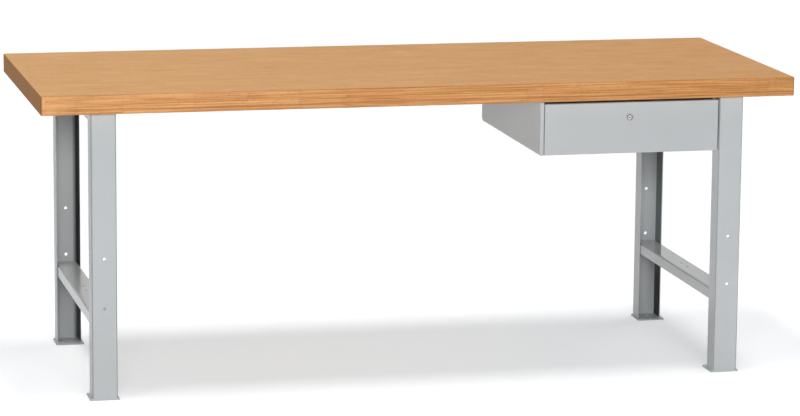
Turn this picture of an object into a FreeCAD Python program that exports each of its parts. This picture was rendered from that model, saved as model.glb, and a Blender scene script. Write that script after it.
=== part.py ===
import FreeCAD, Part
import math
import os

# A workshop bench: a thick beech board on two welded leg frames of folded sheet steel, with one
# lockable drawer that runs on ball runners in a casing hung under the board beside the right frame.
# Millimetres. X runs along the bench, the front faces -Y, and Z rises from the floor.

Vector = FreeCAD.Vector
X_AXIS = Vector(1, 0, 0)
Y_AXIS = Vector(0, 1, 0)
Z_AXIS = Vector(0, 0, 1)

# Board
bench_length = 2000.0
bench_depth = 800.0
bench_height = 800.0
worktop_thickness = 50.0
worktop_corner_round = 6.0
worktop_edge_round = 2.5

# Leg frames
frame_inset = 130.0             # end of the board to the outer side of a leg
frame_setback = 32.0            # front or back edge of the board to the web of a leg
leg_width = 66.0
leg_depth = 52.0
leg_sheet = 2.5
leg_bend = 2.5
leg_hole_diameter = 8.5
leg_hole_height = 241.0
leg_hole_spacing = 130.0
foot_plate_thickness = 4.0
foot_plate_side_overhang = 5.5
foot_plate_open_overhang = 25.0
foot_plate_corner = 4.0
foot_anchor_diameter = 11.0
tie_side_gap = 0.5              # each side of a tie, inside the leg channels
tie_corner_relief = 3.0         # cut off the corners at each end, to clear the bends of the legs
tie_depth = 29.0
tie_sheet = 2.5
tie_bend = 2.5
lower_tie_top = 220.0
tie_hole_diameter = 6.5
tie_hole_spacing = 54.0

# Bolts and threaded inserts between the frames and the board
frame_bolt_count = 4            # along each top rail
frame_bolt_end_distance = 90.0
frame_bolt_diameter = 8.0
frame_bolt_reach = 24.0         # into the board
frame_bolt_clearance = 0.5
bolt_head_flats = 13.0
bolt_head_height = 5.3
washer_diameter = 16.0
washer_thickness = 1.6
insert_diameter = 16.0
insert_length = 28.0
insert_hole_spare_depth = 3.0
thread_clearance = 0.1

# Drawer casing
casing_leg_gap = 4.0
casing_width = 488.0
casing_depth = 604.0
casing_height = 146.0
casing_sheet = 1.2
casing_bend = 1.5
casing_lip = 10.5
casing_top_flange = 26.0
casing_corner_cut = 12.0
flange_end_gap = 0.5
lock_rail_height = 24.0
lock_rail_foot = 30.0
lock_rail_sheet = 1.5
lock_rail_gap = 2.0             # behind the folded edges of the drawer front
casing_screw_diameter = 4.5
casing_screw_reach = 22.0
casing_screw_head_diameter = 9.0
casing_screw_head_height = 2.8
casing_screw_end_distance = 60.0
side_screw_count = 3
back_screw_count = 3
lock_rail_screw_count = 3

# Ball runners: three nested rails and two ball cages on each side
runner_lip_clearance = 0.7
runner_length = 500.0
runner_width = 12.7
runner_height = 45.0
runner_centre_above_tray = 40.0
runner_front_gap = 5.0          # behind the front edge of the right casing side
rail_sheet = 1.2
rail_bend = 0.6
rail_running_gap = 0.3
rail_tip_gap = 2.0              # free edge of an open rail to the drawer side
bracket_height = 38.0
bracket_rear_margin = 10.0
outer_ball_diameter = 4.0
inner_ball_diameter = 3.0
ball_clearance = 0.3
race_depth = 0.5
cage_sheet = 0.6
cage_length = 220.0
cage_ball_count = 6
cage_ball_pitch = 40.0
rail_rivet_diameter = 4.0
rail_rivet_head_diameter = 8.0
rail_rivet_head_height = 1.6
rail_rivet_count = 3
rail_rivet_end_distance = 60.0
rivet_clearance = 0.1

# Drawer
panel_side_gap = 2.0            # casing lip to the drawer front
panel_leg_gap = 3.0             # drawer front to the right leg
panel_top_gap = 10.5
panel_sheet = 1.2
panel_return = 15.0
panel_bend = 1.8
tray_rise = 8.0                 # tray floor above the lower edge of the drawer front
tray_height = 95.0
tray_length = 556.0
tray_sheet = 1.0
tray_bend = 2.0
tray_hem = 6.0
tray_end_flange = 14.0
panel_nut_diameter = 10.0
panel_nut_height = 6.0
panel_screw_diameter = 5.0
panel_screw_head_diameter = 9.5
panel_screw_head_height = 3.0
panel_screw_side_distance = 50.0
panel_screw_edge_distance = 24.0

# Cam lock
lock_drop = 40.0                # top of the drawer front to the lock axis
lock_face_diameter = 19.0
lock_face_height = 2.5
lock_face_chamfer = 0.6
lock_groove_diameter = 16.0
lock_groove_width = 1.6
lock_groove_depth = 1.5
lock_barrel_diameter = 16.0
lock_barrel_length = 22.0
lock_hole_clearance = 0.2
lock_notch_width = 34.0
lock_nut_flats = 21.0
lock_nut_height = 4.5
plug_diameter = 11.0
plug_clearance = 0.3
plug_recess = 0.3
key_slot_width = 2.2
key_slot_height = 7.0
key_slot_depth = 9.0
tail_square = 7.0
cam_running_gap = 0.4
cam_thickness = 2.0
cam_width = 15.0
cam_reach = 34.0                # lock axis to the centre of the cam's round tip
cam_hole_clearance = 0.1
cam_screw_diameter = 4.0
cam_screw_length = 8.0
cam_screw_head_diameter = 9.5
cam_screw_head_height = 2.4

# Places that follow from these sizes
underside_z = bench_height - worktop_thickness
frame_front_y = -bench_depth / 2 + frame_setback
leg_centre_x = bench_length / 2 - frame_inset - leg_width / 2
tie_width = leg_width - 2 * (leg_sheet + tie_side_gap)
tie_half_length = -frame_front_y - leg_sheet
leg_inner_x = leg_centre_x - leg_width / 2

casing_right_x = leg_inner_x - casing_leg_gap
casing_centre_x = casing_right_x - casing_width / 2
casing_half = casing_width / 2
casing_inner_half = casing_half - casing_sheet
casing_bottom_z = underside_z - casing_height
casing_rear_y = frame_front_y + casing_depth

panel_front_y = frame_front_y
panel_left_x = casing_centre_x - casing_half + casing_lip + panel_side_gap
panel_right_x = leg_inner_x - panel_leg_gap
panel_top_z = underside_z - panel_top_gap
panel_back_y = panel_front_y + panel_sheet
panel_return_y = panel_front_y + panel_return
lock_rail_y = panel_return_y + lock_rail_gap

mount_half = casing_half - casing_lip - runner_lip_clearance
tray_half = mount_half - runner_width
tray_front_y = panel_back_y + panel_nut_height
tray_rear_y = tray_front_y + tray_length
tray_bottom_z = casing_bottom_z + tray_rise
tray_top_z = tray_bottom_z + tray_height
runner_z = tray_bottom_z + runner_centre_above_tray
runner_front_y = lock_rail_y + casing_sheet + runner_front_gap
runner_rear_y = runner_front_y + runner_length
runner_middle_y = (runner_front_y + runner_rear_y) / 2

lock_x = casing_centre_x
lock_z = panel_top_z - lock_drop
barrel_end_y = panel_front_y + lock_barrel_length
cam_front_y = barrel_end_y + cam_running_gap
cam_back_y = cam_front_y + cam_thickness


def folded_section(path, sheet, bend):
    """Face of a bent sheet. The path follows one skin, and the sheet lies on its left."""
    points = [Vector(across, along, 0) for across, along in path]
    ways = [(b - a).normalize() for a, b in zip(points, points[1:])]
    lefts = [Vector(-way.y, way.x, 0) for way in ways]
    near_from = points[0]
    far_from = points[0] + lefts[0] * sheet
    edges = [Part.LineSegment(near_from, far_from).toShape()]
    for corner, way_in, way_out, left_in, left_out in zip(points[1:], ways, ways[1:], lefts, lefts[1:]):
        angle = math.atan2(way_in.cross(way_out).z, way_in.dot(way_out))
        turns_left = angle > 0
        near_radius = bend + sheet if turns_left else bend
        far_radius = bend if turns_left else bend + sheet
        reach = near_radius * math.tan(abs(angle) / 2)
        near_to = corner - way_in * reach
        near_next = corner + way_out * reach
        far_to = near_to + left_in * sheet
        far_next = near_next + left_out * sheet
        centre = near_to + left_in * (near_radius if turns_left else -near_radius)
        outward = (corner - centre).normalize()
        edges.append(Part.LineSegment(near_from, near_to).toShape())
        edges.append(Part.Arc(near_to, centre + outward * near_radius, near_next).toShape())
        edges.append(Part.LineSegment(far_from, far_to).toShape())
        edges.append(Part.Arc(far_to, centre + outward * far_radius, far_next).toShape())
        near_from = near_next
        far_from = far_next
    near_end = points[-1]
    far_end = near_end + lefts[-1] * sheet
    edges.append(Part.LineSegment(near_from, near_end).toShape())
    edges.append(Part.LineSegment(far_from, far_end).toShape())
    edges.append(Part.LineSegment(near_end, far_end).toShape())
    return Part.Face(Part.Wire(Part.__sortEdges__(edges)))


def channel_path(middle, width, web, tips):
    """Outer skin of a channel, as (across, along) points, with the sheet on the inside."""
    half = math.copysign(width / 2, tips - web)
    return [(middle - half, tips), (middle - half, web), (middle + half, web), (middle + half, tips)]


def swapped(path):
    """The same outline with its two coordinates changed over, and the sheet on the same skin."""
    return [(along, across) for across, along in reversed(path)]


def run_along_x(face, start, end):
    """Extrude a section drawn in (y, z)."""
    face.rotate(Vector(), Vector(1, 1, 1), 120)
    face.translate(X_AXIS * start)
    return face.extrude(X_AXIS * (end - start))


def run_along_y(face, start, end):
    """Extrude a section drawn in (x, z)."""
    face.rotate(Vector(), X_AXIS, 90)
    face.translate(Y_AXIS * start)
    return face.extrude(Y_AXIS * (end - start))


def run_along_z(face, start, end):
    """Extrude a section drawn in (x, y)."""
    face.translate(Z_AXIS * start)
    return face.extrude(Z_AXIS * (end - start))


def block(low, high):
    """Box between two corners."""
    size = high - low
    return Part.makeBox(size.x, size.y, size.z, low)


def rod(diameter, length, at, direction):
    """Round bar from a point along a direction."""
    return Part.makeCylinder(diameter / 2, length, at, direction)


def aimed(shape, at, direction):
    """Turn a shape drawn upwards from the origin to a direction, and set it at a point."""
    shape.Placement = FreeCAD.Placement(at, FreeCAD.Rotation(Z_AXIS, direction))
    return shape


def hexagon(flats, height):
    """Upright hexagonal prism on the origin."""
    radius = flats / math.sqrt(3)
    turns = [math.radians(60 * step) for step in range(7)]
    corners = [Vector(radius * math.cos(turn), radius * math.sin(turn), 0) for turn in turns]
    return Part.Face(Part.makePolygon(corners)).extrude(Z_AXIS * height)


def dome(diameter, height):
    """Low round head on the origin."""
    radius = diameter / 2
    sphere_radius = (radius ** 2 + height ** 2) / (2 * height)
    sphere = Part.makeSphere(sphere_radius, Z_AXIS * (height - sphere_radius))
    return sphere.common(Part.makeCylinder(radius, height))


def headed_pin(head, pin_diameter, pin_length, at, direction):
    """Head at a point, with its pin going back the other way."""
    pin = Part.makeCylinder(pin_diameter / 2, pin_length, Vector(), -Z_AXIS)
    return aimed(head.fuse(pin).removeSplitter(), at, direction)


def spread(first, last, count):
    """Evenly spaced places from first to last."""
    return [first + (last - first) * step / (count - 1) for step in range(count)]


def edges_along(shape, direction):
    """Straight edges that run along a direction."""
    straight = [edge for edge in shape.Edges if isinstance(edge.Curve, Part.Line)]
    return [edge for edge in straight if abs(abs(edge.Curve.Direction.dot(direction)) - 1) < 1e-6]


def edges_at(shape, axis, place):
    """Edges that lie whole in the plane at a place along an axis."""
    return [edge for edge in shape.Edges
            if all(abs(vertex.Point.dot(axis) - place) < 1e-6 for vertex in edge.Vertexes)]


def pan(low, high, sheet, bend, face_axis, face_place, open_step):
    """Folded sheet pan with an edge on all four sides. Its face lies at face_place, and
    open_step points from there to the open side."""
    outer = block(low, high)
    outer = outer.makeFillet(bend + sheet, edges_at(outer, face_axis, face_place))
    margin = Vector(sheet, sheet, sheet)
    opens_up = open_step.dot(face_axis) > 0
    inner_low = low + margin if opens_up else low + margin + open_step
    inner_high = high - margin + open_step if opens_up else high - margin
    inner = block(inner_low, inner_high)
    inner_place = face_place + math.copysign(sheet, open_step.dot(face_axis))
    inner = inner.makeFillet(bend, edges_at(inner, face_axis, inner_place))
    return outer.cut(inner)


def keep(node, *solids):
    """Write the solids of one node."""
    shape = solids[0] if len(solids) == 1 else Part.makeCompound(list(solids))
    shape.exportStep("parts/" + node + ".step")


# Places of the fasteners that go up into the board
frame_bolt_places = [
    Vector(side * leg_centre_x, y, underside_z)
    for side in (-1, 1)
    for y in spread(-tie_half_length + frame_bolt_end_distance,
                    tie_half_length - frame_bolt_end_distance, frame_bolt_count)]

side_flange_x = casing_inner_half - casing_top_flange / 2
side_screw_ys = spread(lock_rail_y + lock_rail_foot + casing_screw_end_distance,
                       casing_rear_y - casing_screw_end_distance, side_screw_count)
back_flange_y = casing_rear_y - 2 * casing_sheet - casing_top_flange / 2
back_half = casing_inner_half - casing_top_flange - flange_end_gap
cross_screw_end = back_half - casing_screw_end_distance
lock_rail_screw_y = lock_rail_y + (lock_rail_sheet + lock_rail_foot) / 2
casing_screw_places = [
    Vector(casing_centre_x + side * side_flange_x, y, underside_z)
    for side in (-1, 1) for y in side_screw_ys]
casing_screw_places += [
    Vector(casing_centre_x + x, back_flange_y, underside_z)
    for x in spread(-cross_screw_end, cross_screw_end, back_screw_count)]
lock_rail_screw_places = [
    Vector(casing_centre_x + x, lock_rail_screw_y, underside_z)
    for x in spread(-cross_screw_end, cross_screw_end, lock_rail_screw_count)]


def make_worktop():
    """Beech board with eased edges, blind holes for the inserts and pilot holes for the screws."""
    half = Vector(bench_length / 2, bench_depth / 2, 0)
    board = block(Z_AXIS * underside_z - half, Z_AXIS * bench_height + half)
    board = board.makeFillet(worktop_corner_round, edges_along(board, Z_AXIS))
    rims = edges_at(board, Z_AXIS, underside_z) + edges_at(board, Z_AXIS, bench_height)
    board = board.makeFillet(worktop_edge_round, rims)
    insert_hole = insert_diameter + 2 * thread_clearance
    insert_depth = insert_length + insert_hole_spare_depth
    pilot_hole = casing_screw_diameter + 2 * thread_clearance
    pilot_depth = casing_screw_reach + insert_hole_spare_depth
    holes = [rod(insert_hole, insert_depth, at, Z_AXIS) for at in frame_bolt_places]
    holes += [rod(pilot_hole, pilot_depth, at, Z_AXIS)
              for at in casing_screw_places + lock_rail_screw_places]
    return board.cut(Part.makeCompound(holes))


def make_leg(side, end):
    """Upright channel with its web to the outside of the bench and two holes in the web."""
    centre_x = side * leg_centre_x
    web_y = -end * frame_front_y
    section = folded_section(channel_path(centre_x, leg_width, web_y, web_y - end * leg_depth),
                             leg_sheet, leg_bend)
    leg = run_along_z(section, foot_plate_thickness, underside_z)
    for height in (leg_hole_height, leg_hole_height + leg_hole_spacing):
        start = Vector(centre_x, web_y + end * leg_sheet, height)
        leg = leg.cut(rod(leg_hole_diameter, 3 * leg_sheet, start, Y_AXIS * -end))
    return leg


def make_foot_plate(side, end):
    """Flat plate welded under a leg, with a hole for a floor anchor between the leg's flanges."""
    centre_x = side * leg_centre_x
    web_y = -end * frame_front_y
    half = leg_width / 2 + foot_plate_side_overhang
    open_y = web_y - end * (leg_depth + foot_plate_open_overhang)
    plate = block(Vector(centre_x - half, min(web_y, open_y), 0),
                  Vector(centre_x + half, max(web_y, open_y), foot_plate_thickness))
    plate = plate.makeFillet(foot_plate_corner, edges_along(plate, Z_AXIS))
    anchor = Vector(centre_x, web_y - end * (leg_depth + leg_sheet) / 2, 0)
    return plate.cut(rod(foot_anchor_diameter, foot_plate_thickness, anchor, Z_AXIS))


def make_tie(side, top_z, hole_places, hole_diameter):
    """Channel open downwards between the webs of a front and a rear leg, cut back at its corners."""
    centre_x = side * leg_centre_x
    path = channel_path(centre_x, tie_width, top_z, top_z - tie_depth)
    tie = run_along_y(folded_section(path, tie_sheet, tie_bend), -tie_half_length, tie_half_length)
    half = Vector(tie_width / 2, tie_half_length, 0)
    low = Vector(centre_x, 0, top_z - tie_depth)
    high = Vector(centre_x, 0, top_z)
    across = X_AXIS * tie_corner_relief
    along = Y_AXIS * tie_corner_relief
    shorter = block(low - half + along, high + half - along)
    narrower = block(low - half + across, high + half - across)
    tie = tie.cut(block(low - half, high + half).cut([shorter, narrower]))
    for y in hole_places:
        start = Vector(centre_x, y, top_z - 2 * tie_sheet)
        tie = tie.cut(rod(hole_diameter, 3 * tie_sheet, start, Z_AXIS))
    return tie


def make_insert(at):
    """Threaded sleeve let into the underside of the board."""
    sleeve = rod(insert_diameter, insert_length, at, Z_AXIS)
    return sleeve.cut(rod(frame_bolt_diameter + 2 * thread_clearance, insert_length, at, Z_AXIS))


def make_frame_bolt(at):
    """Hexagon bolt that goes up through a top rail into its insert."""
    head = hexagon(bolt_head_flats, bolt_head_height)
    seat = at - Z_AXIS * (tie_sheet + washer_thickness)
    length = tie_sheet + washer_thickness + frame_bolt_reach
    head.translate(Z_AXIS * -bolt_head_height)
    shank = Part.makeCylinder(frame_bolt_diameter / 2, length)
    return aimed(head.fuse(shank).removeSplitter(), seat, Z_AXIS)


def make_washer(at):
    """Flat washer between a bolt head and a top rail."""
    seat = at - Z_AXIS * (tie_sheet + washer_thickness)
    disc = rod(washer_diameter, washer_thickness, seat, Z_AXIS)
    return disc.cut(rod(frame_bolt_diameter + frame_bolt_clearance, washer_thickness, seat, Z_AXIS))


def make_casing_side(side):
    """Side wall of the casing: a pan open to the drawer, with a wide top edge to screw through.
    The left one shows its front edge beside the drawer front, the right one stands behind it."""
    front_y = panel_front_y if side < 0 else lock_rail_y
    outer_x = casing_centre_x + side * casing_half
    lip_x = outer_x - side * casing_lip
    low = Vector(min(outer_x, lip_x), front_y, casing_bottom_z)
    high = Vector(max(outer_x, lip_x), casing_rear_y, underside_z)
    wall = pan(low, high, casing_sheet, casing_bend, X_AXIS, outer_x, X_AXIS * (-side * casing_lip))
    flange_x = casing_centre_x + side * (casing_inner_half - casing_top_flange)
    flange_front_y = lock_rail_y
    flange = block(Vector(min(flange_x, lip_x), flange_front_y, underside_z - casing_sheet),
                   Vector(max(flange_x, lip_x), casing_rear_y, underside_z))
    wall = wall.fuse(flange).removeSplitter()
    corner = [Vector(0, casing_rear_y - casing_corner_cut, casing_bottom_z),
              Vector(0, casing_rear_y, casing_bottom_z + casing_corner_cut),
              Vector(0, casing_rear_y, casing_bottom_z),
              Vector(0, casing_rear_y - casing_corner_cut, casing_bottom_z)]
    cutter = Part.Face(Part.makePolygon(corner)).extrude(X_AXIS * casing_width)
    cutter.translate(X_AXIS * (casing_centre_x - casing_half if side < 0 else casing_centre_x))
    wall = wall.cut(cutter)
    for at in casing_screw_places:
        if (at.x - casing_centre_x) * side > back_half:
            wall = wall.cut(screw_hole(at, casing_sheet))
    return wall


def screw_hole(at, sheet):
    """Clearance hole for a casing screw through a sheet under the board."""
    diameter = casing_screw_diameter + 2 * frame_bolt_clearance
    return rod(diameter, 3 * sheet, at - Z_AXIS * (2 * sheet), Z_AXIS)


def make_casing_back():
    """Back wall of the casing: a sheet in front of the rear edges of the sides, folded at the top."""
    back_y = casing_rear_y - casing_sheet
    top_z = underside_z - casing_sheet
    sheet_half = casing_inner_half - casing_bend
    sheet = block(Vector(casing_centre_x - sheet_half, back_y - casing_sheet,
                         casing_bottom_z + casing_corner_cut),
                  Vector(casing_centre_x + sheet_half, back_y, top_z - casing_bend))
    fold = [(back_y, top_z - 2 * casing_bend), (back_y, underside_z),
            (back_y - casing_sheet - casing_top_flange, underside_z)]
    top = run_along_x(folded_section(fold, casing_sheet, casing_bend),
                      casing_centre_x - back_half, casing_centre_x + back_half)
    back = sheet.fuse(top).removeSplitter()
    for at in casing_screw_places:
        if abs(at.x - casing_centre_x) < back_half:
            back = back.cut(screw_hole(at, casing_sheet))
    return back


def make_lock_rail():
    """Angle under the front of the board: its lower leg is what the lock's cam catches behind."""
    path = [(lock_rail_y, underside_z - lock_rail_height), (lock_rail_y, underside_z),
            (lock_rail_y + lock_rail_sheet + lock_rail_foot, underside_z)]
    rail = run_along_x(folded_section(list(reversed(path)), lock_rail_sheet, casing_bend),
                       casing_centre_x - back_half, casing_centre_x + back_half)
    for at in lock_rail_screw_places:
        rail = rail.cut(screw_hole(at, lock_rail_sheet))
    return rail


def make_casing_screw(at, sheet):
    """Round-headed wood screw that goes up through a folded edge into the board."""
    head = dome(casing_screw_head_diameter, casing_screw_head_height)
    seat = at - Z_AXIS * sheet
    return headed_pin(head, casing_screw_diameter, casing_screw_reach + sheet, seat, -Z_AXIS)


# Sections of the ball runners, as distances in from the casing side and up from the runner's middle
outer_ball_radius = outer_ball_diameter / 2
inner_ball_radius = inner_ball_diameter / 2
outer_race_radius = outer_ball_radius + ball_clearance
inner_race_radius = inner_ball_radius + ball_clearance
cabinet_rail_half = runner_height / 2
outer_ball_rise = cabinet_rail_half - rail_sheet + race_depth - outer_race_radius
middle_rail_half = outer_ball_rise - outer_race_radius + race_depth
inner_ball_rise = middle_rail_half - rail_sheet + race_depth - inner_race_radius
drawer_rail_half = inner_ball_rise - inner_race_radius + race_depth
outer_cage_in = rail_sheet + rail_running_gap
middle_rail_in = outer_cage_in + cage_sheet + rail_running_gap
inner_cage_in = middle_rail_in + rail_sheet + rail_running_gap
drawer_rail_tip_in = inner_cage_in + cage_sheet + rail_running_gap
open_tip_in = runner_width - rail_tip_gap
outer_ball_in = (middle_rail_in + open_tip_in) / 2
inner_ball_in = (drawer_rail_tip_in + open_tip_in) / 2
cage_ball_ys = [runner_middle_y + cage_ball_pitch * (step - (cage_ball_count - 1) / 2)
                for step in range(cage_ball_count)]
rail_rivet_ys = spread(runner_front_y + rail_rivet_end_distance,
                       runner_rear_y - rail_rivet_end_distance, rail_rivet_count)


def runner_x(side, inward):
    """Place across the bench of a point that lies so far in from a runner's mounting face."""
    return casing_centre_x + side * (mount_half - inward)


def runner_channel(side, half, web_in, tip_in, sheet, bend, start, end):
    """Channel on its side, along the runner."""
    path = channel_path(runner_z, 2 * half, runner_x(side, web_in), runner_x(side, tip_in))
    return run_along_y(folded_section(swapped(path), sheet, bend), start, end)


def with_races(rail, side, ball_in, ball_rise, race_radius, start, end):
    """Press a ball race into the upper and the lower edge of a rail."""
    for rise in (-ball_rise, ball_rise):
        at = Vector(runner_x(side, ball_in), start, runner_z + rise)
        rail = rail.cut(rod(2 * race_radius, end - start, at, Y_AXIS))
    return rail


def with_rivet_holes(shape, side, start_in, end_in):
    """Holes for the rivets of one rail through a sheet."""
    for y in rail_rivet_ys:
        at = Vector(runner_x(side, start_in), y, runner_z)
        diameter = rail_rivet_diameter + 2 * rivet_clearance
        shape = shape.cut(rod(diameter, end_in - start_in, at, X_AXIS * -side))
    return shape


def make_runner_bracket(side):
    """Channel with its edges on the casing side, which carries the runner clear of the front lip."""
    path = channel_path(runner_z, bracket_height, runner_x(side, 0),
                        casing_centre_x + side * casing_inner_half)
    bracket = run_along_y(folded_section(swapped(path), casing_sheet, casing_bend),
                          runner_front_y, runner_rear_y + bracket_rear_margin)
    return with_rivet_holes(bracket, side, -2 * casing_sheet, casing_sheet)


def make_cabinet_rail(side):
    """Fixed outer rail of a runner."""
    rail = runner_channel(side, cabinet_rail_half, 0, open_tip_in, rail_sheet, rail_bend,
                          runner_front_y, runner_rear_y)
    rail = with_races(rail, side, outer_ball_in, outer_ball_rise, outer_race_radius,
                      runner_front_y, runner_rear_y)
    return with_rivet_holes(rail, side, -rail_sheet, 2 * rail_sheet)


def make_middle_rail(side):
    """Middle rail, with a race for the outer balls on its outside and the inner balls within."""
    rail = runner_channel(side, middle_rail_half, middle_rail_in, open_tip_in, rail_sheet, rail_bend,
                          runner_front_y, runner_rear_y)
    rail = with_races(rail, side, outer_ball_in, outer_ball_rise, outer_race_radius,
                      runner_front_y, runner_rear_y)
    return with_races(rail, side, inner_ball_in, inner_ball_rise, inner_race_radius,
                      runner_front_y, runner_rear_y)


def make_drawer_rail(side):
    """Inner rail, which turns its back to the drawer side."""
    rail = runner_channel(side, drawer_rail_half, runner_width, drawer_rail_tip_in, rail_sheet,
                          rail_bend, runner_front_y, runner_rear_y)
    rail = with_races(rail, side, inner_ball_in, inner_ball_rise, inner_race_radius,
                      runner_front_y, runner_rear_y)
    return with_rivet_holes(rail, side, runner_width - 2 * rail_sheet, runner_width + rail_sheet)


def make_cage(side, web_in, ball_in, ball_rise, ball_diameter):
    """Thin channel with a round pocket for each ball of an upper and a lower row."""
    start = runner_middle_y - cage_length / 2
    end = runner_middle_y + cage_length / 2
    tip_in = 2 * ball_in - web_in - cage_sheet
    cage = runner_channel(side, ball_rise + cage_sheet / 2, web_in, min(tip_in, open_tip_in),
                          cage_sheet, rail_bend, start, end)
    pocket = ball_diameter + ball_clearance
    bottom_z = runner_z - ball_rise - cage_sheet
    pockets = [rod(pocket, 2 * (ball_rise + cage_sheet), Vector(runner_x(side, ball_in), y, bottom_z),
                   Z_AXIS) for y in cage_ball_ys]
    return cage.cut(Part.makeCompound(pockets))


def make_balls(side, ball_in, ball_rise, ball_diameter):
    """Upper and lower row of balls of one cage."""
    return [Part.makeSphere(ball_diameter / 2, Vector(runner_x(side, ball_in), y, runner_z + rise))
            for rise in (-ball_rise, ball_rise) for y in cage_ball_ys]


def make_cabinet_rivets(side):
    """Rivets that hold the fixed rail to its bracket, with their heads inside the bracket."""
    length = casing_sheet + rail_sheet
    return [headed_pin(dome(rail_rivet_head_diameter, rail_rivet_head_height), rail_rivet_diameter,
                       length, Vector(runner_x(side, -casing_sheet), y, runner_z), X_AXIS * side)
            for y in rail_rivet_ys]


def make_drawer_rivets(side):
    """Rivets that hold the inner rail to the tray, with their heads inside the tray."""
    length = tray_sheet + rail_sheet
    seat_in = runner_width + tray_sheet
    return [headed_pin(dome(rail_rivet_head_diameter, rail_rivet_head_height), rail_rivet_diameter,
                       length, Vector(runner_x(side, seat_in), y, runner_z), X_AXIS * -side)
            for y in rail_rivet_ys]


panel_screw_x = tray_half - panel_screw_side_distance
panel_screw_spots = [(lock_x + side * panel_screw_x, z)
                     for side in (-1, 1)
                     for z in (tray_bottom_z + panel_screw_edge_distance,
                               tray_top_z - panel_screw_edge_distance)]


def make_drawer_front():
    """Pan with a rounded rim, pierced for the lock."""
    low = Vector(panel_left_x, panel_front_y, casing_bottom_z)
    high = Vector(panel_right_x, panel_return_y, panel_top_z)
    front = pan(low, high, panel_sheet, panel_bend, Y_AXIS, panel_front_y, Y_AXIS * panel_return)
    hole = lock_barrel_diameter + 2 * lock_hole_clearance
    return front.cut(rod(hole, 3 * panel_sheet, Vector(lock_x, panel_front_y - panel_sheet, lock_z), Y_AXIS))


def make_tray():
    """Floor and sides of the drawer in one folded sheet, with hems turned out at the top."""
    left = lock_x - tray_half
    right = lock_x + tray_half
    path = [(left - tray_hem, tray_top_z - tray_sheet), (left, tray_top_z - tray_sheet),
            (left, tray_bottom_z), (right, tray_bottom_z),
            (right, tray_top_z - tray_sheet), (right + tray_hem, tray_top_z - tray_sheet)]
    tray = run_along_y(folded_section(path, tray_sheet, tray_bend), tray_front_y, tray_rear_y)
    for side in (-1, 1):
        tray = with_rivet_holes(tray, side, runner_width - tray_sheet, runner_width + 2 * tray_sheet)
    return tray


def make_tray_end(web_y, step):
    """End wall of the tray, with flanges against the inside of its sides."""
    path = channel_path(lock_x, 2 * (tray_half - tray_sheet), web_y, web_y + step * tray_end_flange)
    section = folded_section(path, tray_sheet, tray_bend)
    return run_along_z(section, tray_bottom_z + tray_sheet + tray_bend, tray_top_z)


def make_tray_front():
    """Front wall of the tray behind the drawer front, notched round the lock."""
    wall = make_tray_end(tray_front_y, 1)
    half = lock_notch_width / 2
    depth = tray_sheet * 3
    start_y = tray_front_y - tray_sheet
    notch = rod(lock_notch_width, depth, Vector(lock_x, start_y, lock_z), Y_AXIS)
    throat = block(Vector(lock_x - half, start_y, lock_z),
                   Vector(lock_x + half, start_y + depth, tray_top_z + lock_notch_width))
    wall = wall.cut(notch.fuse(throat))
    for x, z in panel_screw_spots:
        hole = panel_screw_diameter + 2 * frame_bolt_clearance
        wall = wall.cut(rod(hole, depth, Vector(x, start_y, z), Y_AXIS))
    return wall


def make_panel_nut(x, z):
    """Round weld nut on the back of the drawer front."""
    at = Vector(x, panel_back_y, z)
    nut = rod(panel_nut_diameter, panel_nut_height, at, Y_AXIS)
    return nut.cut(rod(panel_screw_diameter + 2 * thread_clearance, panel_nut_height, at, Y_AXIS))


def make_panel_screw(x, z):
    """Round-headed screw from inside the tray into a weld nut."""
    head = dome(panel_screw_head_diameter, panel_screw_head_height)
    seat = Vector(x, tray_front_y + tray_sheet, z)
    return headed_pin(head, panel_screw_diameter, tray_sheet + panel_nut_height, seat, Y_AXIS)


def make_lock_housing():
    """Turned barrel with a chamfered face that bears on the drawer front, and a groove round the plug."""
    seat = Vector(lock_x, panel_front_y, lock_z)
    outside = seat - Y_AXIS * lock_face_height
    face = rod(lock_face_diameter, lock_face_height, seat, -Y_AXIS)
    face = face.makeChamfer(lock_face_chamfer, edges_at(face, Y_AXIS, outside.y))
    barrel = rod(lock_barrel_diameter, lock_barrel_length, seat, Y_AXIS)
    groove = rod(lock_groove_diameter, lock_groove_depth, outside, Y_AXIS)
    collar = rod(lock_groove_diameter - 2 * lock_groove_width, lock_groove_depth, outside, Y_AXIS)
    bore = rod(plug_diameter + 2 * plug_clearance, lock_barrel_length + lock_face_height, outside, Y_AXIS)
    return face.fuse(barrel).removeSplitter().cut([groove.cut(collar), bore])


def make_lock_nut():
    """Hexagon nut that draws the lock's face against the drawer front."""
    nut = aimed(hexagon(lock_nut_flats, lock_nut_height), Vector(lock_x, panel_back_y, lock_z), Y_AXIS)
    bore = lock_barrel_diameter + 2 * thread_clearance
    return nut.cut(rod(bore, lock_nut_height, Vector(lock_x, panel_back_y, lock_z), Y_AXIS))


def make_lock_plug():
    """Turning core with a key slot in front and a square tail for the cam behind."""
    face_y = panel_front_y - lock_face_height + plug_recess
    core = rod(plug_diameter, barrel_end_y - face_y, Vector(lock_x, face_y, lock_z), Y_AXIS)
    slot_half = Vector(key_slot_height / 2, 0, key_slot_width / 2)
    slot_middle = Vector(lock_x, face_y, lock_z)
    slot = block(slot_middle - slot_half, slot_middle + slot_half + Y_AXIS * key_slot_depth)
    tail_half = Vector(tail_square / 2, 0, tail_square / 2)
    tail_start = Vector(lock_x, barrel_end_y, lock_z)
    tail = block(tail_start - tail_half, tail_start + tail_half + Y_AXIS * (cam_back_y - barrel_end_y))
    screw_hole_start = Vector(lock_x, cam_back_y, lock_z)
    bore = rod(cam_screw_diameter + 2 * thread_clearance, cam_screw_length, screw_hole_start, -Y_AXIS)
    return core.cut(slot).fuse(tail).removeSplitter().cut(bore)


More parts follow.
